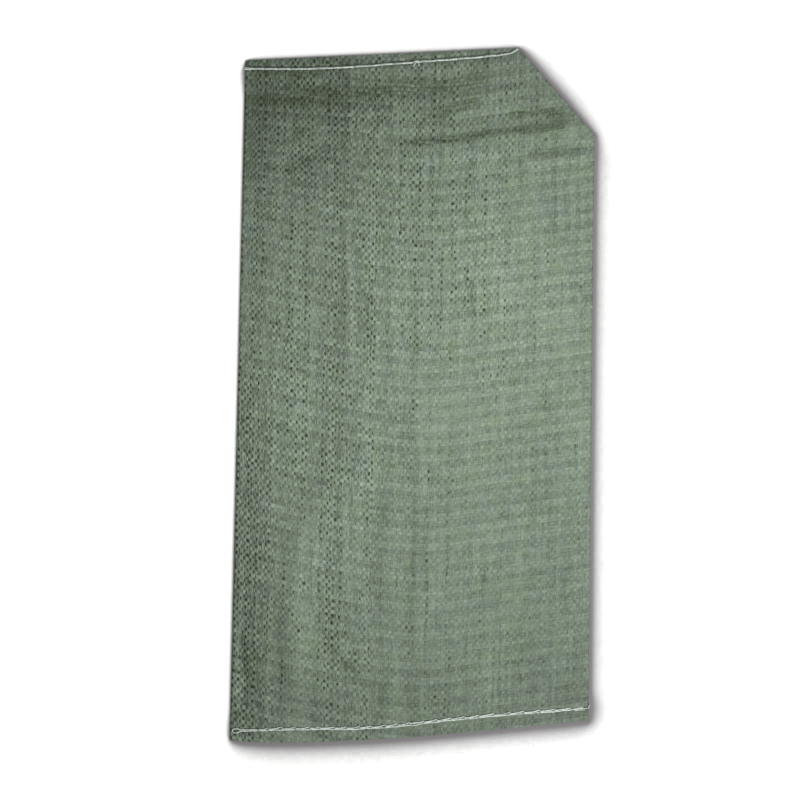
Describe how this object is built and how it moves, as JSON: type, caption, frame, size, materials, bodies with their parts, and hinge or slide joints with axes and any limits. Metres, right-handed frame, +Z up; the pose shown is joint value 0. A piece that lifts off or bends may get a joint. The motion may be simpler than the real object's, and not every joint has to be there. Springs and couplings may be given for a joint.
{
  "type": "cement bag",
  "caption": "Empty valve sack for cement, laid flat: a woven tape tube stitched shut at both ends, with one upper corner tucked in as its filling mouth.",
  "frame": {"origin": "on the floor under the middle of the box of the flat sack", "axes": "+Y along the sack toward its top end with the tucked filling corner, +X across it toward that corner, +Z up out of the front ply"},
  "size_m": [0.4037, 0.7877, 0.0046],
  "materials": {
    "woven_cloth": "grey-green woven polypropylene tape, low sheen",
    "seam_thread": "white spun sewing thread, matt"
  },
  "bodies": {
    "root": {"sack": "woven_cloth", "top_seam_thread": "seam_thread", "bottom_seam_thread": "seam_thread"}
  },
  "joints": []
}
